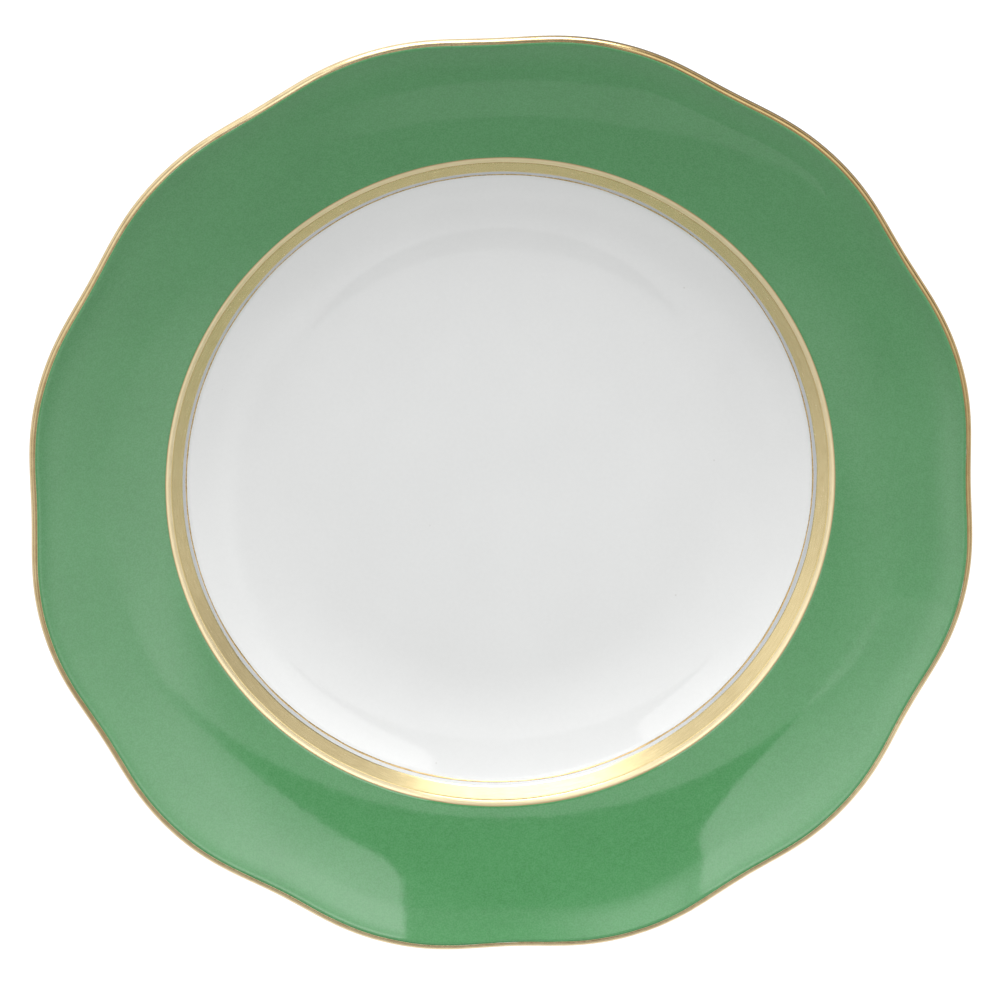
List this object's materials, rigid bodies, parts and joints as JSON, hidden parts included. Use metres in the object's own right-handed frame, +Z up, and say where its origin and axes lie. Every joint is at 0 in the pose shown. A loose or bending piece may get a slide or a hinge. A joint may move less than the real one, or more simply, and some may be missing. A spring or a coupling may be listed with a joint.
{
  "type": "dinner plate",
  "caption": "Lobed china dinner plate: green enamel rim, gold lip line, bright and matte gold bands at the verge, white glazed well and a foot ring.",
  "frame": {"origin": "centre of the foot ring, on the surface the plate stands on", "axes": "+Z up along the plate's axis of symmetry; +X passes through a valley between two lobes"},
  "size_m": [0.2646, 0.2646, 0.0345],
  "materials": {
    "bisque": "unglazed fired porcelain, fine matte grain",
    "white_glaze": "clear gloss glaze over white porcelain",
    "green_enamel": "glossy opaque green enamel ground with faint mottling",
    "rim_gold": "burnished gold on the rounded lip",
    "bright_gold": "bright burnished gold line",
    "matte_gold": "satin gold with fine brush streaks along the band"
  },
  "bodies": {
    "root": {"porcelain_body": "bisque", "glaze_coat": "white_glaze", "glaze_base": "white_glaze", "green_ground": "green_enamel", "gold_rim_edge": "rim_gold", "gold_verge_line": "bright_gold", "gold_verge_band": "matte_gold", "gold_well_line": "bright_gold"}
  },
  "joints": []
}
